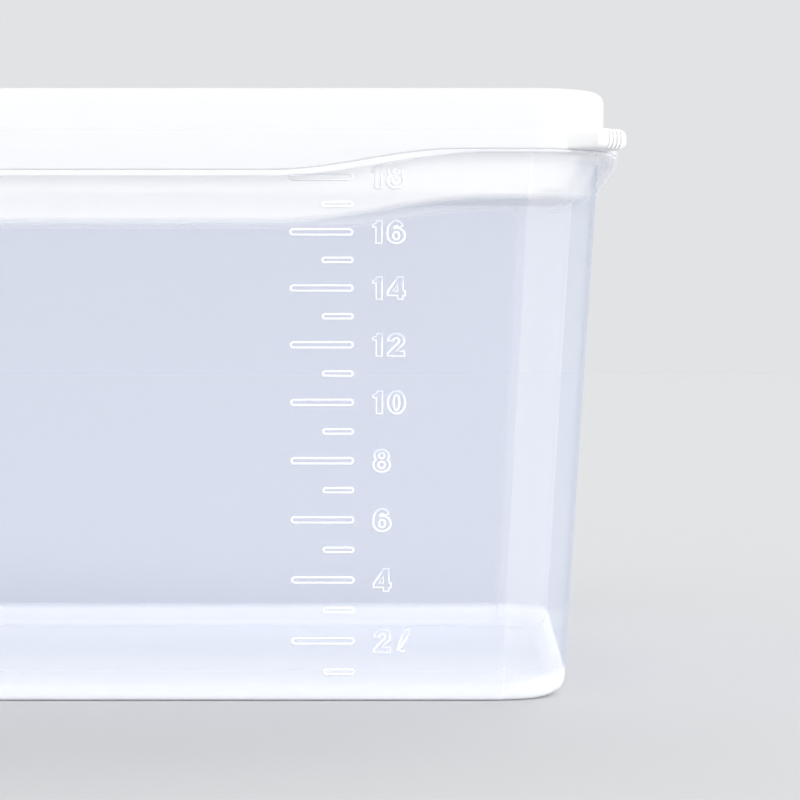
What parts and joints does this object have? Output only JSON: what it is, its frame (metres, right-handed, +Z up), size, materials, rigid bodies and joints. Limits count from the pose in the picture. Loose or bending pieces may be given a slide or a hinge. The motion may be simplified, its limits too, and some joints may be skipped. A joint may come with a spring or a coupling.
{
  "type": "dough proofing container",
  "caption": "Large rectangular translucent food container with tapered walls, a moulded litre scale and a press-on lid whose skirt runs in a wave.",
  "frame": {"origin": "centre of the base, on the plane that the foot rests on", "axes": "+Z up, -Y to the front with the litre scale, +X to the right as seen from the front"},
  "size_m": [0.3812, 0.3268, 0.2089],
  "materials": {
    "tub_plastic": "translucent natural polypropylene, faintly blue, smooth",
    "lid_plastic": "milky white polypropylene, smooth with a soft sheen"
  },
  "bodies": {
    "tub_body": {"tub": "tub_plastic"},
    "lid_body": {"lid": "lid_plastic"}
  },
  "joints": [
    {"name": "lid_lift", "type": "slide", "parent": "tub_body", "child": "lid_body", "axis": [0, 0, 1], "range_m": [0, 0.25]}
  ]
}
